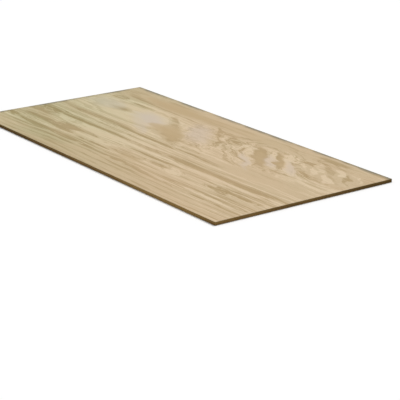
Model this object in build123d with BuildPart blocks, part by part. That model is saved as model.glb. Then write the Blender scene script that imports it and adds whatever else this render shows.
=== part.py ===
from build123d import *
import os

# Sanded softwood plywood, one full sheet lying face up on its back face.
# X runs along the length and the grain of both faces, Y across the width, Z up.
# The origin is the middle of the back face.

# Size as sold: 96 x 48 x 3/4 in
length = 2438.4
width = 1219.2
thickness = 19.05

# Edges of the sheet
arris_radius = 0.5  # where a face meets a sawn edge, broken by the sander
corner_radius = 1.2  # the four upright corners, blunted in handling

# The section is the trimmed outline, pressed to one thickness.
with BuildPart() as plywood_sheet:
    with BuildSketch(Plane.XY):
        RectangleRounded(length, width, corner_radius)
    extrude(amount=thickness)
    face_outlines = faces().filter_by(Axis.Z).edges()
    fillet(face_outlines, radius=arris_radius)

plywood_sheet.part.label = "plywood_sheet"

os.makedirs("parts", exist_ok=True)
export_step(plywood_sheet.part, "parts/plywood_sheet.step")
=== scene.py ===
import math
import random

import bmesh
import bpy
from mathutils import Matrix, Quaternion, Vector, noise


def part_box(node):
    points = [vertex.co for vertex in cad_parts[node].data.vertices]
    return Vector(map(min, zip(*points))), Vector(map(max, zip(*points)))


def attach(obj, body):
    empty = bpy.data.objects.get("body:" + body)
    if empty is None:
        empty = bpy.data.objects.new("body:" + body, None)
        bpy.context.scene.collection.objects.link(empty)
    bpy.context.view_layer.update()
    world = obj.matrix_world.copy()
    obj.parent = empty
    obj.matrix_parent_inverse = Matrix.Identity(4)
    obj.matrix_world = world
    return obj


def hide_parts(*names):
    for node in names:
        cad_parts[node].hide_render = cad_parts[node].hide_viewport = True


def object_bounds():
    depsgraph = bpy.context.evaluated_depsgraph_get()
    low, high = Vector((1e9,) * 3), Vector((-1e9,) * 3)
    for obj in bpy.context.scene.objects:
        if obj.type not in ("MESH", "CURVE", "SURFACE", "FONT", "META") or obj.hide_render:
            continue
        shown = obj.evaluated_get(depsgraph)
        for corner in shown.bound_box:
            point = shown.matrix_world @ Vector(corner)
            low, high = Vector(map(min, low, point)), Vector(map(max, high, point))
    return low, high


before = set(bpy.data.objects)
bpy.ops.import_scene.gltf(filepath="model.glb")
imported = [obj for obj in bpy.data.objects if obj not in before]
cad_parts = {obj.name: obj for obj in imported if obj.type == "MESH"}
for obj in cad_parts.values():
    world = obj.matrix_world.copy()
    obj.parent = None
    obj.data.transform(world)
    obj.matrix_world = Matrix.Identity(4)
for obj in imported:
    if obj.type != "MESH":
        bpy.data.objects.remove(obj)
cadLow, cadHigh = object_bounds()
scene = bpy.context.scene
scene.view_settings.view_transform = "Standard"
sheetLow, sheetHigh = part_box("plywood_sheet")

# All sizes are in metres. X runs along the length and the grain, Y across, Z up out of the better face.
sheet = {
    "halfLength": (sheetHigh.x - sheetLow.x) / 2,
    "halfWidth": (sheetHigh.y - sheetLow.y) / 2,
    "thickness": sheetHigh.z - sheetLow.z,
    "plies": 7,
    "facePly": 0.0023,  # the two outer plies, thinned by the sander
    "arris": 0.0005,  # rounding where a face meets a sawn edge
    "corner": 0.0012,  # rounding of the upright corners
    "station": 0.012,  # size of the mesh faces along and across the sheet
    "glueRow": 0.0002,  # half of the strip that holds a glue line
    "glueDip": 0.0001,
    "relief": 0.00018,  # how deep the sawn end grain lies at most
    "longRelief": 0.35,  # share of that where the saw ran along the grain
    "sawWave": 0.03,  # length of the waves in the relief
    "fuzz": 0.00003,  # depth of single torn fibres
    "touching": 0.00002,  # points nearer than this are one point
    "seed": 11,
}
innerPly = (sheet["thickness"] - 2 * sheet["facePly"]) / (sheet["plies"] - 2)
glueLines = [sheet["facePly"] + innerPly * i for i in range(sheet["plies"] - 1)]

# Gaps between the veneer strips of an inner ply, open at the sawn edge: which side, how far along it
# from the middle, which ply counted up from 0 at the back face, and how wide
coreGaps = [
    {"side": "front", "at": -0.71, "ply": 3, "width": 0.006},
    {"side": "front", "at": 0.52, "ply": 1, "width": 0.004},
    {"side": "back", "at": 0.276, "ply": 5, "width": 0.005},
    {"side": "back", "at": -0.95, "ply": 3, "width": 0.007},
    {"side": "right", "at": 0.21, "ply": 2, "width": 0.005},
    {"side": "left", "at": -0.33, "ply": 4, "width": 0.006},
]
gapDepth = 0.009  # all of them, in from the edge
sideOut = {
    "front": Vector((0, -1, 0)),
    "back": Vector((0, 1, 0)),
    "right": Vector((1, 0, 0)),
    "left": Vector((-1, 0, 0)),
}


def plyAt(height):
    # counted up from 0 at the back face
    return sum(height > line for line in glueLines)


def rimLevels():
    # heights of the mesh rows down a sawn edge, closer together at the glue lines
    levels = []
    bounds = [0.0] + glueLines + [sheet["thickness"]]
    for low, high in zip(bounds, bounds[1:]):
        first = low + sheet["glueRow"] if low > 0 else low
        last = high - sheet["glueRow"] if high < sheet["thickness"] else high
        levels += [first, first + (last - first) / 3, first + (last - first) * 2 / 3, last]
        if high < sheet["thickness"]:
            levels.append(high)
    return levels


def buildSolid(bm):
    # one face as a grid, its rim drawn down row by row, and a second grid to close it
    columns = round(2 * sheet["halfLength"] / sheet["station"])
    rows = round(2 * sheet["halfWidth"] / sheet["station"])
    size = Vector((sheet["halfLength"], sheet["halfWidth"], 1.0))
    levels = rimLevels()
    top = bmesh.ops.create_grid(bm, x_segments=columns, y_segments=rows, size=1.0)["verts"]
    bmesh.ops.scale(bm, verts=top, vec=size)
    bmesh.ops.translate(bm, verts=top, vec=(0, 0, levels[-1]))
    rim = [e for e in bm.edges if e.is_boundary]
    for above, below in zip(levels[::-1], levels[-2::-1]):
        made = bmesh.ops.extrude_edge_only(bm, edges=rim)["geom"]
        rim = [g for g in made if isinstance(g, bmesh.types.BMEdge)]
        rim = [e for e in rim if e.is_boundary]
        moved = [g for g in made if isinstance(g, bmesh.types.BMVert)]
        bmesh.ops.translate(bm, verts=moved, vec=(0, 0, below - above))
    bottom = bmesh.ops.create_grid(bm, x_segments=columns, y_segments=rows, size=1.0)["verts"]
    bmesh.ops.scale(bm, verts=bottom, vec=size)
    bmesh.ops.remove_doubles(bm, verts=bm.verts, dist=sheet["touching"])
    bmesh.ops.recalc_face_normals(bm, faces=bm.faces)


def roundEdges(bm):
    # the four upright corners, then the arrises round both faces
    squareTurn = math.radians(80)  # only square edges turn by more

    def onUprightEdge(v):
        offX = abs(abs(v.co.x) - sheet["halfLength"])
        offY = abs(abs(v.co.y) - sheet["halfWidth"])
        return max(offX, offY) < sheet["touching"]

    upright = [e for e in bm.edges if all(onUprightEdge(v) for v in e.verts)]
    bmesh.ops.bevel(bm, geom=upright, offset=sheet["corner"], offset_type="OFFSET", segments=3,
                    profile=0.5, affect="EDGES", material=-1)
    bm.normal_update()
    arrises = [e for e in bm.edges if len(e.link_faces) == 2 and e.calc_face_angle(0) > squareTurn]
    bmesh.ops.bevel(bm, geom=arrises, offset=sheet["arris"], offset_type="OFFSET", segments=2,
                    profile=0.5, affect="EDGES", material=-1)
    bm.normal_update()


def sideOf(normal):
    levelEnough = 0.9  # upward part of the normal where a face begins
    if abs(normal.z) > levelEnough:
        return "face" if normal.z > 0 else "underside"
    if abs(normal.y) >= abs(normal.x):
        return "front" if normal.y < 0 else "back"
    return "right" if normal.x > 0 else "left"


def sawRelief(bm):
    # end grain lies a little deeper than long grain, and the glue lines a little deeper again
    chance = random.Random(sheet["seed"])
    margin = sheet["arris"] * 1.1  # the rounded arrises stay smooth
    leastOutward = 0.5  # of the normal, below which a point belongs to a face
    waveStep = 5.3  # gives each ply its own waves
    moves = []
    for v in bm.verts:
        out = Vector((v.normal.x, v.normal.y, 0))
        inBand = margin < v.co.z < sheet["thickness"] - margin
        if out.length < leastOutward or not inBand:
            continue
        ply = plyAt(v.co.z)
        alongX = abs(v.normal.y) > abs(v.normal.x)
        endGrain = (ply % 2 == 1) == alongX
        at = Vector((v.co.x / sheet["sawWave"], v.co.y / sheet["sawWave"], ply * waveStep))
        wave = 0.5 + 0.5 * noise.noise(at)
        depth = sheet["relief"] * (wave if endGrain else sheet["longRelief"] * wave)
        depth += sheet["fuzz"] * chance.random()
        if min(abs(v.co.z - line) for line in glueLines) < sheet["touching"]:
            depth += sheet["glueDip"]
        moves.append((v, out.normalized() * -depth))
    for v, move in moves:
        v.co += move


def cutCoreGaps(bm):
    # the mesh column nearest to each gap is narrowed to its width and pushed in
    sameColumn = 0.001
    for gap in coreGaps:
        axis = 0 if gap["side"] in ("front", "back") else 1
        low = glueLines[gap["ply"] - 1] + sheet["glueRow"]
        high = glueLines[gap["ply"]] - sheet["glueRow"]
        near = []
        for f in bm.faces:
            middle = f.calc_center_median()
            if sideOf(f.normal) == gap["side"] and low < middle.z < high:
                near.append((abs(middle[axis] - gap["at"]), f))
        nearest = min(distance for distance, f in near)
        column = [f for distance, f in near if distance < nearest + sameColumn]
        corners = {v for f in column for v in f.verts}
        places = [v.co[axis] for v in corners]
        centre = (min(places) + max(places)) / 2
        narrower = gap["width"] / sheet["station"]
        for v in corners:
            v.co[axis] = centre + (v.co[axis] - centre) * narrower
        made = bmesh.ops.extrude_face_region(bm, geom=column)["geom"]
        bmesh.ops.delete(bm, geom=column, context="FACES")
        inner = [g for g in made if isinstance(g, bmesh.types.BMVert)]
        bmesh.ops.translate(bm, verts=inner, vec=sideOut[gap["side"]] * -gapDepth)


# Places of the sides on the sheet's own map, in 1024ths: left, bottom, width, height
mapSize = 1024
mapPlaces = {
    "face": (6, 6, 1012, 564),
    "underside": (6, 580, 1012, 292),
    "front": (6, 882, 1012, 38),
    "back": (6, 930, 1012, 38),
    "right": (6, 978, 500, 38),
    "left": (518, 978, 500, 38),
}
sideSlots = {"face": 0, "underside": 1, "front": 2, "back": 2, "right": 3, "left": 3}


def layOut(bm):
    # each side has its own place on the map, and sides of one kind share a finish
    uv = bm.loops.layers.uv.new("OFBake")
    for f in bm.faces:
        side = sideOf(f.normal)
        f.material_index = sideSlots[side]
        left, bottom, wide, high = mapPlaces[side]
        for loop in f.loops:
            co = loop.vert.co
            alongX = 0.5 + 0.5 * co.x / sheet["halfLength"]
            alongY = 0.5 + 0.5 * co.y / sheet["halfWidth"]
            across = alongY if side in ("left", "right") else alongX
            up = alongY if side in ("face", "underside") else co.z / sheet["thickness"]
            loop[uv].uv = ((left + wide * across) / mapSize, (bottom + high * up) / mapSize)


def makeSheet():
    bm = bmesh.new()
    buildSolid(bm)
    roundEdges(bm)
    sawRelief(bm)
    cutCoreGaps(bm)
    bm.normal_update()
    layOut(bm)
    mesh = bpy.data.meshes.new("sanded_sheet")
    bm.to_mesh(mesh)
    bm.free()
    piece = bpy.data.objects.new("sanded_sheet", mesh)
    scene.collection.objects.link(piece)
    return piece


# Shader nodes: a socket takes another node's output or a plain value

def addNode(tree, kind, **settings):
    node = tree.nodes.new(kind)
    for name, value in settings.items():
        setattr(node, name, value)
    return node


def feed(tree, socket, value):
    if isinstance(value, bpy.types.NodeSocket):
        tree.links.new(value, socket)
    else:
        socket.default_value = value


def calc(tree, operation, *values, clamp=False):
    node = addNode(tree, "ShaderNodeMath", operation=operation, use_clamp=clamp)
    for socket, value in zip(node.inputs, values):
        feed(tree, socket, value)
    return node.outputs[0]


def vectorCalc(tree, operation, *values):
    node = addNode(tree, "ShaderNodeVectorMath", operation=operation)
    for socket, value in zip(node.inputs, values):
        feed(tree, socket, value)
    return node.outputs["Value" if operation in ("LENGTH", "DISTANCE") else "Vector"]


def step(tree, value, start, end, low=0.0, high=1.0):
    node = addNode(tree, "ShaderNodeMapRange", interpolation_type="SMOOTHSTEP")
    for name, given in (("Value", value), ("From Min", start), ("From Max", end),
                        ("To Min", low), ("To Max", high)):
        feed(tree, node.inputs[name], given)
    return node.outputs["Result"]


def mixColour(tree, factor, first, second):
    # a Mix node's factor and its two colours are sockets 0, 6 and 7, and its colour comes out of socket 2
    node = addNode(tree, "ShaderNodeMix", data_type="RGBA")
    for index, given in ((0, factor), (6, first), (7, second)):
        feed(tree, node.inputs[index], given)
    return node.outputs[2]


def splitPlace(tree, place):
    parts = addNode(tree, "ShaderNodeSeparateXYZ")
    feed(tree, parts.inputs[0], place)
    return parts.outputs


def drawnNoise(tree, place, sizes, shift, detail=2.0, roughness=0.5):
    # noise about 0, drawn out to a wavelength along each axis, and shifted so that no two noises are alike
    scaled = vectorCalc(tree, "DIVIDE", place, sizes)
    moved = vectorCalc(tree, "ADD", scaled, (shift, shift * 0.7, shift * 1.3))
    node = addNode(tree, "ShaderNodeTexNoise", noise_dimensions="3D")
    node.inputs["Scale"].default_value = 1.0
    node.inputs["Detail"].default_value = detail
    node.inputs["Roughness"].default_value = roughness
    feed(tree, node.inputs["Vector"], moved)
    return calc(tree, "SUBTRACT", node.outputs[0], 0.5)


def warp(tree, place, sizes, reach, roughness):
    # moves every place by a noise drawn out to the given sizes
    node = addNode(tree, "ShaderNodeTexNoise", noise_dimensions="2D")
    node.inputs["Scale"].default_value = 1.0
    node.inputs["Detail"].default_value = 3.0
    node.inputs["Roughness"].default_value = roughness
    feed(tree, node.inputs["Vector"], vectorCalc(tree, "DIVIDE", place, sizes))
    centred = vectorCalc(tree, "SUBTRACT", node.outputs["Color"], (0.5, 0.5, 0.5))
    return vectorCalc(tree, "MULTIPLY_ADD", centred, reach, place)


def newGroup(name, inputs, outputs):
    tree = bpy.data.node_groups.new(name, "ShaderNodeTree")
    for label, kind, value in inputs:
        socket = tree.interface.new_socket(name=label, in_out="INPUT", socket_type="NodeSocket" + kind)
        if value is not None:
            socket.default_value = value
    for label, kind in outputs:
        tree.interface.new_socket(name=label, in_out="OUTPUT", socket_type="NodeSocket" + kind)
    return tree, addNode(tree, "NodeGroupInput").outputs, addNode(tree, "NodeGroupOutput").inputs


def useGroup(tree, group, values):
    node = addNode(tree, "ShaderNodeGroup", node_tree=group)
    for label, value in values.items():
        feed(tree, node.inputs[label], value)
    return node.outputs


def colour(red, green, blue):
    # from the 0 to 255 of a paint chart
    return tuple(((c / 255 + 0.055) / 1.055) ** 2.4 for c in (red, green, blue)) + (1.0,)


wood = {
    "early": colour(216, 195, 162),  # spring wood of the faces
    "late": colour(134, 104, 26),  # summer wood of the faces
    "earlyGreener": colour(200, 190, 152),  # both again, at the greener end of the better face
    "lateGreener": colour(118, 98, 6),
    "warm": colour(200, 170, 134),
    "bleached": colour(194, 177, 161),
    "bleachedGreener": colour(184, 180, 154),
    "tan": colour(178, 152, 109),
    "sideGrain": colour(200, 164, 100),
    "endGrain": colour(164, 126, 68),
    "glue": colour(81, 56, 24),
    # the more olive glue tone of the painted shade at the far ends of the sawn edges
    "farEndGlue": colour(76, 57, 10),
    "grime": colour(128, 116, 92),
    # colour of the painted shade line along the back and left rims
    "rimShade": colour(96, 91, 70),
    "knot": colour(126, 84, 48),
    "bark": colour(70, 46, 30),
}

# Across the better face, from its back edge to its front edge: Y, and the number of the growth ring there.
# It hardly changes behind the middle, where the knife ran along one ring.
ringNumbers = [
    (0.66, 0.74), (0.50, 0.66), (0.42, 0.58), (0.36, 0.36), (0.30, 0.24), (0.10, 0.20), (0.05, 0.32),
    (0.0, 0.66), (-0.035, 1.0), (-0.10, 2.0), (-0.17, 3.0), (-0.25, 4.0), (-0.31, 5.0), (-0.365, 6.0),
    (-0.42, 7.0), (-0.465, 8.0), (-0.505, 9.0), (-0.545, 10.0), (-0.585, 11.0), (-0.66, 12.8),
]

# Rings added by bulges in the log: middle, half sizes, turn in degrees, how many
bulges = [
    ((0.50, 0.30), (0.42, 0.24), -32, -2.6),
    ((0.95, 0.36), (0.36, 0.20), -25, 1.6),
    ((-0.05, 0.24), (0.30, 0.18), -30, 0.9),
]

# Where the figure is restless: middle, half sizes, turn, strength
restless = [
    ((0.02, 0.22), (0.30, 0.20), -25, 0.9),
    ((0.70, 0.34), (0.50, 0.24), -8, 0.18),
]

# Where the ring lines fade: middle, half sizes, turn, how much
faded = [
    ((0.85, 0.02), (0.62, 0.14), 0, 0.9),
    ((-0.70, 0.20), (0.52, 0.20), 0, 0.9),
    ((0.00, -0.54), (1.60, 0.12), 0, 0.5),
    ((-0.20, 0.52), (1.60, 0.14), 0, 0.7),
    ((-0.22, 0.14), (0.28, 0.12), -32, 0.8),
    ((0.48, 0.28), (0.22, 0.07), -40, 0.6),
    ((1.04, 0.36), (0.34, 0.19), -14, 0.8),
]

# Where the wood is paler and greyer, and where it is an even tan: middle, half sizes, turn, how much
bleached = [
    ((-0.53, 0.21), (0.25, 0.12), -14, 0.85),
    ((-1.02, 0.22), (0.24, 0.13), 0, 0.55),
    ((0.585, 0.265), (0.17, 0.040), -38, 0.50),
    ((0.50, 0.15), (0.21, 0.035), -35, 0.50),
    ((0.75, 0.275), (0.17, 0.05), -38, 0.50),
    ((-0.10, 0.27), (0.28, 0.11), -36, 0.50),
    ((-0.42, 0.06), (0.20, 0.05), -25, 0.40),
]
tanned = [
    ((-0.19, 0.135), (0.27, 0.10), -32, 0.90),
    ((-0.36, 0.150), (0.14, 0.06), -20, 0.70),
    ((0.10, 0.50), (0.60, 0.07), 0, 0.35),
    ((-0.62, 0.485), (0.55, 0.09), 0, 0.90),
    ((0.485, 0.275), (0.24, 0.06), -37, 0.60),
    ((0.61, 0.325), (0.21, 0.035), -43, 0.55),
    ((0.05, -0.350), (0.15, 0.05), -5, 0.50),
]

# Marks that are darker (more than 0) or paler than the rings make them, in families of one turn in degrees,
# one slimness (width over length) and one even share of the half length: middle, half length, strength
markFamilies = [
    # long lines of the front half
    (0, 0.05, 0.25, [
        ((-0.70, -0.018), 0.62, 1.1),
        ((-0.15, -0.035), 0.38, 0.8),
        ((-0.50, -0.060), 0.40, -0.5),
        ((-0.52, -0.086), 0.28, 0.8),
        ((-0.50, -0.150), 0.62, 1.0),
        ((0.65, -0.143), 0.80, 1.1),
        ((0.75, -0.187), 0.55, -0.9),
        ((0.00, -0.195), 0.60, -0.8),
        ((0.45, -0.225), 0.28, 0.9),
        ((0.95, -0.205), 0.32, 0.9),
        ((0.12, -0.236), 0.36, 1.0),
        ((-0.92, -0.342), 0.46, 1.0),
        ((-0.76, -0.377), 0.32, -0.8),
        ((-0.72, -0.415), 0.56, 1.3),
        ((-0.30, -0.355), 0.26, 0.7),
        ((0.90, -0.386), 0.45, 1.1),
        ((0.90, -0.413), 0.40, -0.8),
        ((0.75, -0.440), 0.36, 0.6),
    ]),
    # shorter bands, and the tan band along the back
    (0, 0.15, 0.25, [
        ((-0.35, 0.49), 1.05, 0.5),
        ((0.00, -0.53), 1.50, 0.35),
        ((0.80, 0.53), 0.65, 0.5),
        ((-0.76, 0.34), 0.16, 0.8),
        ((0.13, 0.03), 0.16, 0.7),
        ((0.79, 0.155), 0.11, 0.8),
        ((0.30, -0.140), 0.28, 0.7),
        ((-0.50, -0.205), 0.42, -1.1),
        ((-0.50, -0.266), 0.18, 1.0),
        ((-0.98, -0.30), 0.26, 0.8),
        ((-1.16, -0.39), 0.20, 0.5),
        ((-0.40, -0.31), 0.32, -1.1),
        ((0.00, -0.315), 0.16, 0.7),
        ((0.25, -0.295), 0.15, 1.1),
        ((1.03, -0.268), 0.19, 1.2),
        ((0.06, -0.420), 0.18, 1.0),
    ]),
    # rounder marks, with the pale plate and the lenses
    (0, 0.40, 0.25, [
        ((-0.68, 0.20), 0.60, -0.7),
        ((-0.84, 0.20), 0.14, 1.4),
        ((-1.08, 0.36), 0.11, 0.9),
        ((-1.10, -0.160), 0.18, 0.9),
        ((-0.67, -0.295), 0.18, 2.1),
        ((0.44, -0.29), 0.14, -1.4),
        ((0.83, -0.28), 0.13, 1.3),
        ((0.72, 0.42), 0.07, 1.2),
        ((0.73, 0.34), 0.08, 0.9),
    ]),
    # the tan blotch and the mottled part
    (-32, 0.30, 0.55, [
        ((-0.19, 0.135), 0.25, 0.65),
        ((-0.38, 0.290), 0.15, 0.65),
        ((-0.36, 0.145), 0.12, 0.60),
        ((-0.08, 0.060), 0.14, 0.60),
    ]),
    (-30, 0.50, 0.25, [
        ((-0.07, 0.25), 0.25, -0.1),
        ((-0.52, 0.22), 0.28, -0.4),
        ((-0.22, 0.345), 0.035, 0.9),
        ((-0.06, 0.175), 0.04, 0.9),
        ((0.175, 0.335), 0.10, 1.2),
        ((0.24, 0.34), 0.06, -0.9),
        ((0.26, 0.27), 0.07, -0.9),
        ((0.03, 0.345), 0.05, 0.8),
    ]),
    # the eyes, and slanting streaks round them
    (-37, 0.27, 0.6, [
        ((0.485, 0.275), 0.215, 0.95),
        ((0.74, 0.27), 0.17, -1.0),
        ((0.81, 0.40), 0.08, 1.0),
        ((0.86, 0.35), 0.10, -0.9),
        ((-0.03, 0.37), 0.14, 0.6),
        ((0.95, 0.395), 0.13, 0.6),
        ((0.84, 0.415), 0.10, -0.5),
        ((1.07, 0.310), 0.06, 0.5),
        ((0.88, 0.270), 0.07, 0.6),
        ((1.02, 0.300), 0.11, -0.9),
        ((0.99, 0.440), 0.09, -0.8),
    ]),
    (-43, 0.14, 0.4, [
        ((0.44, 0.215), 0.26, -1.1),
        ((0.600, 0.315), 0.22, 1.7),
        ((0.655, 0.345), 0.22, -1.1),
        ((0.565, 0.300), 0.20, -1.1),
        ((0.10, 0.26), 0.14, 0.8),
        ((0.22, 0.21), 0.11, 0.8),
        ((0.31, 0.28), 0.10, 0.8),
        ((1.10, 0.385), 0.15, 0.8),
        ((1.14, 0.435), 0.09, -0.5),
    ]),
    # the arcs below the eyes
    (-24, 0.08, 0.25, [
        ((0.365, 0.240), 0.16, 0.9),
        ((0.400, 0.205), 0.16, -0.9),
        ((0.425, 0.168), 0.19, 1.1),
        ((0.400, 0.137), 0.16, -0.8),
        ((0.380, 0.105), 0.17, 1.1),
        ((0.10, 0.095), 0.14, 0.8),
    ]),
    (-14, 0.16, 0.25, [
        ((0.66, 0.135), 0.17, 0.8),
        ((0.10, 0.14), 0.18, -0.6),
        ((0.88, 0.27), 0.17, 0.8),
        ((1.06, 0.25), 0.15, 0.4),
        ((0.85, 0.47), 0.16, 0.6),
    ]),
]


def joinPlace(tree, *values):
    joined = addNode(tree, "ShaderNodeCombineXYZ")
    for socket, value in zip(joined.inputs, values):
        feed(tree, socket, value)
    return joined.outputs[0]


def flatPlace(tree, place):
    x, y = splitPlace(tree, place)[:2]
    return joinPlace(tree, x, y)


def spot(tree, place, middle, halves, turn, core=0.0):
    # 1 in the core of a turned ellipse, 0 outside it
    mapping = addNode(tree, "ShaderNodeMapping", vector_type="TEXTURE")
    feed(tree, mapping.inputs["Vector"], place)
    mapping.inputs["Location"].default_value = (*middle, 0)
    mapping.inputs["Rotation"].default_value = (0, 0, math.radians(turn))
    mapping.inputs["Scale"].default_value = (*halves, 1)
    return step(tree, vectorCalc(tree, "LENGTH", mapping.outputs[0]), 1.0, core)


def total(tree, values):
    result = values[0]
    for value in values[1:]:
        result = calc(tree, "ADD", result, value)
    return result


# Pores are short dashes: their size as a share of the fibre's, and where in their noise they start
# and are full
pores = {
    "share": (0.12, 0.5, 0.5),
    "start": 0.16,
    "full": 0.26,
}


def makeFibreGroup():
    tree, given, result = newGroup(
        "wood fibres",
        [("Place", "Vector", None), ("Length", "Float", 0.3), ("Width", "Float", 0.002)],
        [("Fibre", "Float"), ("Pores", "Float")],
    )
    sizes = joinPlace(tree, given["Length"], given["Width"], given["Width"])
    fibre = drawnNoise(tree, given["Place"], sizes, 3.1, detail=3.0, roughness=0.6)
    shorter = vectorCalc(tree, "MULTIPLY", sizes, pores["share"])
    dashes = drawnNoise(tree, given["Place"], shorter, 8.4, detail=1.0)
    feed(tree, result["Fibre"], fibre)
    feed(tree, result["Pores"], step(tree, dashes, pores["start"], pores["full"]))
    return tree


# Summer wood grows in over this much of a ring before and after its spring share, and stops at
# the ring's end
ringShape = {
    "before": 0.15,
    "after": 0.30,
    "stop": 0.93,
}


def makeRingGroup():
    # from a ring number to how much summer wood shows, with a sharp end to each ring
    tree, given, result = newGroup(
        "growth rings",
        [("Ring", "Float", 0.0), ("Spring Share", "Float", 0.5)],
        [("Summer Wood", "Float")],
    )
    part = calc(tree, "FRACT", given["Ring"])
    start = calc(tree, "SUBTRACT", given["Spring Share"], ringShape["before"])
    full = calc(tree, "ADD", given["Spring Share"], ringShape["after"])
    rise = step(tree, part, start, full)
    fall = step(tree, part, ringShape["stop"], 1.0, 1.0, 0.0)
    feed(tree, result["Summer Wood"], calc(tree, "MULTIPLY", rise, fall))
    return tree


# What bends the rings: wavelengths along X, Y and Z, and how far each noise moves a ring across the sheet
bends = {
    "broad": (0.80, 0.24, 1.0),
    "broadMove": 0.07,
    "broadFrom": (5.0, 2.0, 0.0),  # the place in the noise that suits the sheet
    "middle": (0.26, 0.05, 1.0),
    "middleMove": 0.034,
    "fine": (0.07, 0.010, 1.0),
    "fineMove": 0.010,
    "fineRings": 0.25,  # rings that the fine noise adds as well
    "restless": (0.17, 0.06, 1.0),
    "restlessRings": 3.0,  # rings that the restless noise adds where Unrest is 1
}


def ringCurve(tree, across):
    # the curve node works from 0 to 1 both ways
    first, last = ringNumbers[-1][0], ringNumbers[0][0]
    lowRing, highRing = ringNumbers[0][1], ringNumbers[-1][1]
    share = calc(tree, "DIVIDE", calc(tree, "SUBTRACT", across, first), last - first)
    node = addNode(tree, "ShaderNodeFloatCurve")
    points = node.mapping.curves[0].points
    spots = sorted(
        ((y - first) / (last - first), (ring - lowRing) / (highRing - lowRing)) for y, ring in ringNumbers
    )
    points[0].location = spots[0]
    points[1].location = spots[-1]
    for x, y in spots[1:-1]:
        points.new(x, y)
    for point in points:
        point.handle_type = "AUTO_CLAMPED"
    node.mapping.update()
    feed(tree, node.inputs["Value"], share)
    return calc(tree, "MULTIPLY_ADD", node.outputs[0], highRing - lowRing, lowRing)


def makeFigureGroup():
    # the ring that the knife has reached at each place of a peeled veneer
    tree, given, result = newGroup(
        "peeled figure",
        [("Place", "Vector", None), ("Added Rings", "Float", 0.0), ("Unrest", "Float", 0.0)],
        [("Ring", "Float")],
    )
    place = given["Place"]
    broadPlace = vectorCalc(tree, "ADD", place, bends["broadFrom"])
    broad = drawnNoise(tree, broadPlace, bends["broad"], 1.3, detail=1.0)
    middle = drawnNoise(tree, place, bends["middle"], 4.7)
    fine = drawnNoise(tree, place, bends["fine"], 9.2)
    move = calc(tree, "MULTIPLY", broad, bends["broadMove"])
    move = calc(tree, "MULTIPLY_ADD", middle, bends["middleMove"], move)
    move = calc(tree, "MULTIPLY_ADD", fine, bends["fineMove"], move)
    ring = ringCurve(tree, calc(tree, "ADD", splitPlace(tree, place)[1], move))
    restlessNoise = drawnNoise(tree, place, bends["restless"], 6.1, detail=3.0, roughness=0.6)
    unrest = calc(tree, "MULTIPLY", given["Unrest"], bends["restlessRings"])
    ring = calc(tree, "ADD", ring, calc(tree, "MULTIPLY", restlessNoise, unrest))
    ring = calc(tree, "ADD", ring, given["Added Rings"])
    ring = calc(tree, "MULTIPLY_ADD", fine, bends["fineRings"], ring)
    feed(tree, result["Ring"], ring)
    return tree


# Grime along the rim of a face and how ragged it is, and the broken dark line along the back and left rims,
# which is painted shade
rim = {
    "ragged": (0.05, 0.012, 0.012),  # wavelengths
    "grimeSwing": 0.016,
    "shadeSwing": 0.036,
    "shadeFull": 0.008,  # the line is full up to here from the edge, and gone from the next on
    "shadeGone": 0.040,
    "patches": (0.14, 0.14, 1.0),
    "patchStart": -0.22,
    "patchFull": 0.10,
}


def makeRimGroup():
    tree, given, result = newGroup(
        "rim grime and shade",
        [("Place", "Vector", None), ("Reach", "Float", 0.005)],
        [("Grime", "Float"), ("Rim Shade", "Float")],
    )
    place = given["Place"]
    x, y = splitPlace(tree, place)[:2]
    inX = calc(tree, "SUBTRACT", sheet["halfLength"], calc(tree, "ABSOLUTE", x))
    inY = calc(tree, "SUBTRACT", sheet["halfWidth"], calc(tree, "ABSOLUTE", y))
    ragged = drawnNoise(tree, place, rim["ragged"], 2.2, detail=4.0, roughness=0.65)
    near = calc(tree, "MULTIPLY_ADD", ragged, rim["grimeSwing"], calc(tree, "MINIMUM", inX, inY))
    feed(tree, result["Grime"], step(tree, near, given["Reach"], 0.0))
    # the broken dark line along the back and left rims is painted shade
    fromBack = calc(tree, "SUBTRACT", sheet["halfWidth"], y)
    fromLeft = calc(tree, "ADD", x, sheet["halfLength"])
    inside = calc(tree, "MINIMUM", fromBack, fromLeft)
    inside = calc(tree, "MULTIPLY_ADD", ragged, rim["shadeSwing"], inside)
    clouds = drawnNoise(tree, place, rim["patches"], 6.6, detail=3.0)
    patches = step(tree, clouds, rim["patchStart"], rim["patchFull"])
    line = step(tree, inside, rim["shadeGone"], rim["shadeFull"])
    feed(tree, result["Rim Shade"], calc(tree, "MULTIPLY", patches, line))
    return tree


# Plies on a sawn edge: how much they waver, and how far from its middle a glue line is dark and gone
plyLook = {
    "waver": (0.12, 0.12, 1.0),  # wavelengths
    "waverMove": 0.0006,
    "toneSeed": 3.7,
    "glueDark": 0.00008,
    "glueGone": 0.00026,
}


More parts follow.
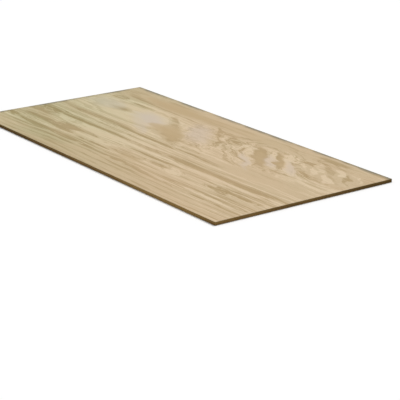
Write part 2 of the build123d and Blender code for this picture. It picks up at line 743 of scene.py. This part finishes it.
def makePlyGroup():
    # which ply it is, whether its grain ends there, and the glue lines between the plies
    tree, given, result = newGroup(
        "stacked plies",
        [("Place", "Vector", None), ("Crossed", "Float", 0.0)],
        [("Ply", "Float"), ("Ply Tone", "Float"), ("End Grain", "Float"), ("Glue", "Float")],
    )
    waver = drawnNoise(tree, given["Place"], plyLook["waver"], 5.0)
    height = calc(tree, "MULTIPLY_ADD", waver, plyLook["waverMove"], splitPlace(tree, given["Place"])[2])
    level = calc(tree, "DIVIDE", calc(tree, "SUBTRACT", height, sheet["facePly"]), innerPly)
    ply = calc(tree, "ADD", calc(tree, "FLOOR", level), 1.0)
    tone = addNode(tree, "ShaderNodeTexWhiteNoise", noise_dimensions="1D")
    feed(tree, tone.inputs["W"], calc(tree, "ADD", ply, plyLook["toneSeed"]))
    cross = calc(tree, "SUBTRACT", calc(tree, "PINGPONG", ply, 1.0), given["Crossed"])
    offLine = calc(tree, "ABSOLUTE", calc(tree, "SUBTRACT", level, calc(tree, "ROUND", level)))
    offLine = calc(tree, "MULTIPLY", offLine, innerPly)
    glue = step(tree, offLine, plyLook["glueDark"], plyLook["glueGone"], 1.0, 0.0)
    feed(tree, result["Ply"], ply)
    feed(tree, result["Ply Tone"], tone.outputs["Value"])
    feed(tree, result["End Grain"], calc(tree, "ABSOLUTE", cross))
    feed(tree, result["Glue"], glue)
    return tree


fibreGroup = makeFibreGroup()
ringGroup = makeRingGroup()
figureGroup = makeFigureGroup()
rimGroup = makeRimGroup()
plyGroup = makePlyGroup()


def newFinish(name, gloss):
    finish = bpy.data.materials.new(name)
    finish.use_nodes = True
    tree = finish.node_tree
    shader = tree.nodes["Principled BSDF"]
    shader.inputs["Specular IOR Level"].default_value = gloss
    place = addNode(tree, "ShaderNodeTexCoord").outputs["Object"]
    return finish, tree, shader, place


def addBump(tree, shader, height, strength, distance):
    bump = addNode(tree, "ShaderNodeBump")
    bump.inputs["Strength"].default_value = strength
    bump.inputs["Distance"].default_value = distance
    feed(tree, bump.inputs["Height"], height)
    feed(tree, shader.inputs["Normal"], bump.outputs[0])


# The grain of a veneer. Sizes are wavelengths along X, Y and Z, and what ends in Dark says how much of the
# summer wood's colour a thing brings.
grain = {
    "springSize": (0.50, 0.045, 1.0),
    "springShare": 0.45,  # share of a ring that is spring wood
    "springSwing": 1.4,
    "ringsPerShade": 1.1,  # a dark mark also bends the rings round it
    "fineRings": 3.0,  # faint rings for each growth ring
    "fineRingStart": 0.3,
    "fineRingShare": 0.4,
    "waveSize": (0.20, 0.09, 1.0),
    "waveMove": (0.0, 0.040, 0.0),
    "fibre": (0.16, 0.0040),  # length and width
    "hair": (0.060, 0.0009),
    "unevenSize": (0.55, 0.028, 1.0),
    "lineSize": (0.50, 0.008, 1.0),
    "lineLeast": 0.5,  # strength of the lines where the rings fade, and what the rings add to it
    "lineMore": 0.6,
    "middle": 0.55,  # summer wood taken as middling
    "shadeWeight": 0.85,
    "unevenWeight": 1.4,
    "lineWeight": 1.6,
    "pale": (-0.55, -0.05),  # between these values of the field pale wood turns into middling wood
    "dark": (0.15, 0.95),  # and between these it turns into dark wood
    "leastDark": 0.13,
    "middlingDark": 0.25,
    "fullDark": 0.36,
    "lineDark": 0.30,
    "fibreDark": 0.30,
    "hairDark": 0.65,
    "poreDark": 0.34,
    "greenerDark": 0.08,
    "warmSize": (0.5, 0.15, 1.0),
    "warmSwing": 0.15,
    "warmShare": 0.25,
}


def veneerColour(tree, place, addedRings, unrest, lineStrength, shade, greener):
    addedRings = calc(tree, "MULTIPLY_ADD", shade, grain["ringsPerShade"], addedRings)
    figure = useGroup(tree, figureGroup, {"Place": place, "Added Rings": addedRings, "Unrest": unrest})
    springNoise = drawnNoise(tree, place, grain["springSize"], 15.0)
    spring = calc(tree, "MULTIPLY_ADD", springNoise, grain["springSwing"], grain["springShare"])
    rings = useGroup(tree, ringGroup, {"Ring": figure["Ring"], "Spring Share": spring})
    fineRing = calc(tree, "MULTIPLY_ADD", figure["Ring"], grain["fineRings"], grain["fineRingStart"])
    fineRings = useGroup(tree, ringGroup, {"Ring": fineRing, "Spring Share": 0.5})
    wavy = warp(tree, place, grain["waveSize"], grain["waveMove"], 0.5)
    fibreLength, fibreWidth = grain["fibre"]
    hairLength, hairWidth = grain["hair"]
    fibres = useGroup(tree, fibreGroup, {"Place": wavy, "Length": fibreLength, "Width": fibreWidth})
    hairs = useGroup(tree, fibreGroup, {"Place": wavy, "Length": hairLength, "Width": hairWidth})
    uneven = drawnNoise(tree, wavy, grain["unevenSize"], 21.0)
    lines = drawnNoise(tree, wavy, grain["lineSize"], 27.0, roughness=0.6)
    lines = calc(tree, "MULTIPLY", lines,
                 calc(tree, "MULTIPLY_ADD", lineStrength, grain["lineMore"], grain["lineLeast"]))
    # the height of this field decides between pale, middling and dark wood
    bands = calc(tree, "MULTIPLY_ADD", fineRings["Summer Wood"], grain["fineRingShare"],
                 rings["Summer Wood"])
    field = calc(tree, "MULTIPLY", calc(tree, "SUBTRACT", bands, grain["middle"]), lineStrength)
    for amount, weight in ((shade, "shadeWeight"), (uneven, "unevenWeight"), (lines, "lineWeight")):
        field = calc(tree, "MULTIPLY_ADD", amount, grain[weight], field)
    summer = grain["leastDark"]
    for amount, weight in (
        (step(tree, field, *grain["pale"]), "middlingDark"),
        (step(tree, field, *grain["dark"]), "fullDark"),
        (lines, "lineDark"),
        (fibres["Fibre"], "fibreDark"),
        (hairs["Fibre"], "hairDark"),
        (hairs["Pores"], "poreDark"),
    ):
        summer = calc(tree, "MULTIPLY_ADD", amount, grain[weight], summer)
    summer = calc(tree, "MULTIPLY", summer,
                  calc(tree, "MULTIPLY_ADD", greener, grain["greenerDark"], 1.0), clamp=True)
    early = mixColour(tree, greener, wood["early"], wood["earlyGreener"])
    late = mixColour(tree, greener, wood["late"], wood["lateGreener"])
    base = mixColour(tree, summer, early, late)
    warmNoise = drawnNoise(tree, place, grain["warmSize"], 12.0)
    warmer = step(tree, warmNoise, -grain["warmSwing"], grain["warmSwing"])
    base = mixColour(tree, calc(tree, "MULTIPLY", warmer, grain["warmShare"]), base, wood["warm"])
    return base, total(tree, [lines, fibres["Fibre"], hairs["Fibre"]])


# What both faces share besides their grain
veneer = {
    "gloss": 0.3,
    "roughness": 0.62,
    "grainSmoother": -0.30,  # dense summer wood is sanded smoother
    "grimeDuller": 0.15,
    "grimeReach": 0.008,
    "grimeCover": 0.45,
    "bumpStrength": 0.12,
    "bumpDistance": 0.0004,
}


def finishVeneer(tree, shader, place, base, relief, rimShadeCover):
    darkening = useGroup(tree, rimGroup, {"Place": place, "Reach": veneer["grimeReach"]})
    base = mixColour(tree, calc(tree, "MULTIPLY", darkening["Grime"], veneer["grimeCover"]), base, wood["grime"])
    # mixes in the painted shade line along the back and left rims
    base = mixColour(tree, calc(tree, "MULTIPLY", darkening["Rim Shade"], rimShadeCover), base, wood["rimShade"])
    feed(tree, shader.inputs["Base Color"], base)
    rough = calc(tree, "MULTIPLY_ADD", relief, veneer["grainSmoother"], veneer["roughness"])
    rough = calc(tree, "MULTIPLY_ADD", darkening["Grime"], veneer["grimeDuller"], rough, clamp=True)
    feed(tree, shader.inputs["Roughness"], rough)
    addBump(tree, shader, relief, veneer["bumpStrength"], veneer["bumpDistance"])


def spotTotal(tree, place, entries):
    core = 0.25  # share of each spot that has its full strength
    shares = []
    for at, halves, turn, strength in entries:
        here = spot(tree, place, at, halves, turn, core)
        shares.append(calc(tree, "MULTIPLY", here, strength))
    return total(tree, shares)


def markTotal(tree, swirling, drawnOut):
    # every family has its own turned and squashed frame, in which its marks are round
    result = 0.0
    for turn, slimness, even, entries in markFamilies:
        squashed = addNode(tree, "ShaderNodeMapping", vector_type="TEXTURE")
        feed(tree, squashed.inputs["Vector"], swirling if turn else drawnOut)
        squashed.inputs["Rotation"].default_value = (0, 0, math.radians(turn))
        squashed.inputs["Scale"].default_value = (1, slimness, 1)
        for at, halfLength, strength in entries:
            middle = Vector((*at, 0))
            middle.rotate(Quaternion((0, 0, 1), math.radians(-turn)))
            middle.y /= slimness
            apart = vectorCalc(tree, "DISTANCE", squashed.outputs[0], tuple(middle))
            here = step(tree, apart, halfLength, halfLength * even)
            result = calc(tree, "MULTIPLY_ADD", here, strength, result)
    return result


# The better face. Its slanting marks swirl, and its long ones are drawn out along the grain.
face = {
    "swirlSize": (0.16, 0.055, 1.0),
    "swirlMove": (0.14, 0.035, 0.0),
    "drawnSize": (0.35, 0.045, 1.0),
    "drawnMove": (0.30, 0.035, 0.0),
    "speckSize": (0.035, 0.018, 1.0),
    "speckedPart": ((-0.04, 0.25), (0.28, 0.16), -30, 0.5),  # middle, half sizes, turn, core
    "speckShade": 2.2,
    "leastUnrest": 0.05,
    "lineStrength": 0.8,
    "greenSlant": 0.6,  # Y counts this much next to X in how green a place is
    "greenFrom": 0.2,
    "greenFull": -1.2,
    "palePower": 2.0,  # bleached wood turns greener later than the rest
    "cover": 0.95,
    "coverLessByGrain": -0.6,
    # how strongly the painted shade line along the rims shows
    "rimShadeCover": 0.80,
}


def faceFinish():
    finish, tree, shader, place = newFinish("sanded face veneer", veneer["gloss"])
    flat = flatPlace(tree, place)
    swirling = warp(tree, flat, face["swirlSize"], face["swirlMove"], 0.4)
    drawnOut = warp(tree, flat, face["drawnSize"], face["drawnMove"], 0.6)
    specks = calc(tree, "MULTIPLY", drawnNoise(tree, flat, face["speckSize"], 3.3),
                  spot(tree, flat, *face["speckedPart"]))
    shade = calc(tree, "MULTIPLY_ADD", specks, face["speckShade"], markTotal(tree, swirling, drawnOut))
    added = spotTotal(tree, swirling, bulges)
    unrest = calc(tree, "ADD", spotTotal(tree, flat, restless), face["leastUnrest"])
    lineStrength = calc(tree, "SUBTRACT", face["lineStrength"], spotTotal(tree, swirling, faded))
    x, y = splitPlace(tree, flat)[:2]
    leftward = calc(tree, "MULTIPLY_ADD", y, face["greenSlant"], x)
    greener = step(tree, leftward, face["greenFrom"], face["greenFull"])
    base, relief = veneerColour(tree, flat, added, unrest, lineStrength, shade, greener)
    greenPale = calc(tree, "POWER", greener, face["palePower"])
    pale = mixColour(tree, greenPale, wood["bleached"], wood["bleachedGreener"])
    cover = calc(tree, "MULTIPLY_ADD", relief, face["coverLessByGrain"], face["cover"])
    for spots, tone in ((bleached, pale), (tanned, wood["tan"])):
        share = calc(tree, "MULTIPLY", spotTotal(tree, swirling, spots), cover)
        base = mixColour(tree, share, base, tone)
    finishVeneer(tree, shader, flat, base, relief, face["rimShadeCover"])
    return finish


# Tight knots of the back veneer: middle and radius
knots = [
    ((-0.62, 0.21), 0.016),
    ((0.31, -0.34), 0.021),
    ((0.93, 0.40), 0.013),
    ((-0.18, -0.12), 0.009),
]


# The plainer back veneer. Reaches and edges are in knot radii.
back = {
    "raggedSize": (0.05, 0.02, 1.0),
    "raggedMove": (0.010, 0.006, 0.0),
    "lens": (0.3, 1.0, 1.0),  # the rings part round a knot in a lens along the grain
    "lensReach": 3.2,
    "lensRings": 3.2,
    "knotEdge": (1.05, 0.9),
    "barkEdge": (0.22, 0.05),
    "knotCover": 0.75,
    "barkCover": 0.7,
    "figureMove": (3.7, 0.05, 0),  # another stretch of the figure than the better face has, turned round
    "figureTurn": 180,
    "unrest": 0.6,
    "lineStrength": 0.8,
    # how strongly the painted shade line along the rims shows
    "rimShadeCover": 0.35,
}


def backFinish():
    finish, tree, shader, place = newFinish("back veneer", veneer["gloss"])
    flat = flatPlace(tree, place)
    ragged = warp(tree, flat, back["raggedSize"], back["raggedMove"], 0.5)
    added, inKnot, onBark = 0.0, 0.0, 0.0
    for at, radius in knots:
        fromKnot = vectorCalc(tree, "SUBTRACT", ragged, (*at, 0))
        apart = vectorCalc(tree, "LENGTH", fromKnot)
        inLens = vectorCalc(tree, "LENGTH", vectorCalc(tree, "MULTIPLY", fromKnot, back["lens"]))
        parted = step(tree, inLens, radius * back["lensReach"], 0.0)
        added = calc(tree, "MULTIPLY_ADD", parted, back["lensRings"], added)
        outer, inner = back["knotEdge"]
        inKnot = calc(tree, "MAXIMUM", inKnot, step(tree, apart, radius * outer, radius * inner))
        offRim = calc(tree, "ABSOLUTE", calc(tree, "SUBTRACT", apart, radius))
        outer, inner = back["barkEdge"]
        onBark = calc(tree, "MAXIMUM", onBark, step(tree, offRim, radius * outer, radius * inner))
    turned = addNode(tree, "ShaderNodeMapping")
    feed(tree, turned.inputs["Vector"], flat)
    turned.inputs["Location"].default_value = back["figureMove"]
    turned.inputs["Rotation"].default_value = (0, 0, math.radians(back["figureTurn"]))
    base, relief = veneerColour(
        tree, turned.outputs[0], added, back["unrest"], back["lineStrength"], shade=0.0, greener=0.0
    )
    base = mixColour(tree, calc(tree, "MULTIPLY", inKnot, back["knotCover"]), base, wood["knot"])
    base = mixColour(tree, calc(tree, "MULTIPLY", onBark, back["barkCover"]), base, wood["bark"])
    finishVeneer(tree, shader, flat, base, relief, back["rimShadeCover"])
    return finish


# The sawn edges. Sizes are wavelengths along X, Y and Z, and what ends in Share says how much browner
# a thing makes the wood.
sawn = {
    "gloss": 0.12,
    "plyStep": 7.3,  # keeps the tones of the plies apart
    "toneSize": (0.22, 0.22, 1.0),
    "toneShare": 0.9,
    "plyShare": 0.25,
    "fibre": (0.12, 0.0008),  # length and width
    "endSize": (0.0014, 0.0014, 0.0010),
    "contrast": 1.6,
    "sideMiddle": 0.35,
    "endMiddle": 0.3,
    "scoreSize": (0.004, 0.004, 0.06),
    "scoreShare": 0.25,
    "leastShaded": ((0.75, -0.60), (2.1, 1.6), 0),  # middle, half sizes, turn; painted shade darkens the edges away from it
    "farShadeShare": 0.65,
    "cloudSize": (0.16, 0.16, 1.0),
    "cloudShare": 0.5,
    "litStretch": ((0.75, -0.61), (0.44, 0.20), 0, 0.5),  # a stretch of the front edge painted lighter as painted light, with its core
    "litStretchShare": -0.65,
    "litStretchCover": 0.45,
    "mostDark": 0.8,
    "glueCover": 0.9,
    "roughness": 0.76,
    "endDuller": 0.08,  # torn end grain is dull, and the glue has a slight gloss
    "tornDuller": 0.20,
    "glueSmoother": -0.30,
    "bumpStrength": 0.3,
    "bumpDistance": 0.0003,
}


def sawnFinish(name, crossed):
    # crossed is 0 where the outer plies show long grain and 1 where they show end grain
    finish, tree, shader, place = newFinish(name, sawn["gloss"])
    flat = flatPlace(tree, place)
    plies = useGroup(tree, plyGroup, {"Place": place, "Crossed": crossed})
    own = joinPlace(tree, 0.0, 0.0, calc(tree, "MULTIPLY", plies["Ply"], sawn["plyStep"]))
    own = vectorCalc(tree, "MULTIPLY_ADD", place, (1.0, 1.0, 0.0), own)
    tone = drawnNoise(tree, own, sawn["toneSize"], 4.4, detail=3.0, roughness=0.55)
    fibreLength, fibreWidth = sawn["fibre"]
    fibres = useGroup(tree, fibreGroup, {"Place": place, "Length": fibreLength, "Width": fibreWidth})
    ends = drawnNoise(tree, place, sawn["endSize"], 7.7, detail=3.0, roughness=0.7)
    score = drawnNoise(tree, place, sawn["scoreSize"], 2.9)
    cloud = drawnNoise(tree, place, sawn["cloudSize"], 11.0)
    contrast = sawn["contrast"]
    sideMix = calc(tree, "MULTIPLY_ADD", fibres["Fibre"], contrast, sawn["sideMiddle"], clamp=True)
    side = mixColour(tree, sideMix, wood["sideGrain"], wood["endGrain"])
    endMix = calc(tree, "MULTIPLY_ADD", ends, contrast, sawn["endMiddle"], clamp=True)
    end = mixColour(tree, endMix, wood["endGrain"], wood["glue"])
    base = mixColour(tree, plies["End Grain"], side, end)
    # every ply has its own tone, which changes along it, the far ends of the edges are darker and more
    # olive as painted shade, and a stretch of the front edge is painted lighter
    darkening = calc(tree, "SUBTRACT", 1.0, spot(tree, flat, *sawn["leastShaded"]))
    # a stretch of the front edge painted lighter: painted light
    litStretch = spot(tree, flat, *sawn["litStretch"])
    dark = calc(tree, "MULTIPLY", tone, sawn["toneShare"])
    for amount, share in (
        (plies["Ply Tone"], "plyShare"),
        (darkening, "farShadeShare"),
        (cloud, "cloudShare"),
        (litStretch, "litStretchShare"),
    ):
        dark = calc(tree, "MULTIPLY_ADD", amount, sawn[share], dark)
    dark = calc(tree, "MULTIPLY_ADD", score, sawn["scoreShare"], dark, clamp=True)
    # mixes the painted light toward the paler side grain
    base = mixColour(tree, calc(tree, "MULTIPLY", litStretch, sawn["litStretchCover"]), base, wood["sideGrain"])
    # the painted shade at the far ends turns more olive
    brown = mixColour(tree, darkening, wood["glue"], wood["farEndGlue"])
    base = mixColour(tree, calc(tree, "MINIMUM", dark, sawn["mostDark"]), base, brown)
    base = mixColour(tree, calc(tree, "MULTIPLY", plies["Glue"], sawn["glueCover"]), base, wood["glue"])
    feed(tree, shader.inputs["Base Color"], base)
    rough = calc(tree, "MULTIPLY_ADD", plies["End Grain"], sawn["endDuller"], sawn["roughness"])
    rough = calc(tree, "MULTIPLY_ADD", ends, sawn["tornDuller"], rough)
    rough = calc(tree, "MULTIPLY_ADD", plies["Glue"], sawn["glueSmoother"], rough, clamp=True)
    feed(tree, shader.inputs["Roughness"], rough)
    height = total(tree, [ends, fibres["Fibre"], score])
    addBump(tree, shader, height, sawn["bumpStrength"], sawn["bumpDistance"])
    return finish


piece = makeSheet()
# in the order of sideSlots
piece.data.materials.append(faceFinish())
piece.data.materials.append(backFinish())
piece.data.materials.append(sawnFinish("long sawn edges", crossed=0.0))
piece.data.materials.append(sawnFinish("short sawn edges", crossed=1.0))
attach(piece, "root")
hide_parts("plywood_sheet")
print("sheet", len(piece.data.polygons), "faces")


# Floor and light
studio = {
    "floorSize": 60.0,
    "floorGap": 0.0002,  # the floor lies this far under the sheet
    "floorSeen": 1.0,  # brightness of the floor to the camera and in reflections
    "floorLit": 0.55,  # how much of the light it sends back onto the sheet
    "skySeen": 1.0,
    "skyLit": 0.37,
    "lampFrom": (-0.25, 0.5, 1.0),
    "lampSoftness": 40,  # degrees
    "lampBrightness": 0.64,
}


def seenOrLit(tree, seen, lit):
    # one value where the camera or a reflection looks, another for the light that is sent on
    rays = addNode(tree, "ShaderNodeLightPath").outputs
    looking = calc(tree, "MAXIMUM", rays["Is Glossy Ray"], rays["Is Transmission Ray"])
    looking = calc(tree, "MAXIMUM", rays["Is Camera Ray"], looking)
    return step(tree, looking, 0.0, 1.0, lit, seen)


def makeFloor():
    bm = bmesh.new()
    made = bmesh.ops.create_grid(bm, x_segments=1, y_segments=1, size=studio["floorSize"] / 2)["verts"]
    bmesh.ops.translate(bm, verts=made, vec=(0, 0, cadLow.z - studio["floorGap"]))
    mesh = bpy.data.meshes.new("floor")
    bm.to_mesh(mesh)
    bm.free()
    floor = bpy.data.objects.new("floor", mesh)
    scene.collection.objects.link(floor)
    paint = bpy.data.materials.new("white floor")
    paint.use_nodes = True
    tree = paint.node_tree
    shader = tree.nodes["Principled BSDF"]
    shade = seenOrLit(tree, studio["floorSeen"], studio["floorLit"])
    grey = addNode(tree, "ShaderNodeCombineColor")
    for socket in grey.inputs[:3]:
        feed(tree, socket, shade)
    feed(tree, shader.inputs["Base Color"], grey.outputs[0])
    shader.inputs["Roughness"].default_value = 1.0
    shader.inputs["Specular IOR Level"].default_value = 0.0
    floor.data.materials.append(paint)


def makeWorld():
    world = bpy.data.worlds.new("studio")
    scene.world = world
    world.use_nodes = True
    tree = world.node_tree
    shader = tree.nodes["Background"]
    shader.inputs["Color"].default_value = (1, 1, 1, 1)
    feed(tree, shader.inputs["Strength"], seenOrLit(tree, studio["skySeen"], studio["skyLit"]))


def makeLamp(name, direction, softness, brightness):
    # brightness is what the lamp alone adds to a white level surface
    lamp = bpy.data.lights.new(name, "SUN")
    lamp.angle = math.radians(softness)
    away = Vector(direction).normalized()
    lamp.energy = brightness * math.pi / away.z
    holder = bpy.data.objects.new(name, lamp)
    holder.rotation_mode = "QUATERNION"
    holder.rotation_quaternion = away.to_track_quat("Z", "Y")
    scene.collection.objects.link(holder)


makeFloor()
makeWorld()
makeLamp("overhead softbox", studio["lampFrom"], studio["lampSoftness"], studio["lampBrightness"])
print("floor, sky and lamp made")

# The camera stands off the front right corner, as in the photograph
view = {
    "place": (6.819, -4.902, 2.546),
    "aim": (0.8988, -0.4654, 0.019),
    "lens": 134.3,  # millimetres, on film this wide
    "film": 36.0,
    "roll": 0.52,  # degrees
    "farthest": 200.0,
}


def makeCamera():
    data = bpy.data.cameras.new("camera")
    data.lens = view["lens"]
    data.sensor_width = view["film"]
    data.clip_end = view["farthest"]
    holder = bpy.data.objects.new("camera", data)
    holder.location = view["place"]
    holder.rotation_mode = "QUATERNION"
    towards = (Vector(view["place"]) - Vector(view["aim"])).to_track_quat("Z", "Y")
    holder.rotation_quaternion = towards @ Quaternion((0, 0, 1), math.radians(view["roll"]))
    scene.collection.objects.link(holder)
    scene.camera = holder


makeCamera()
print("camera made")
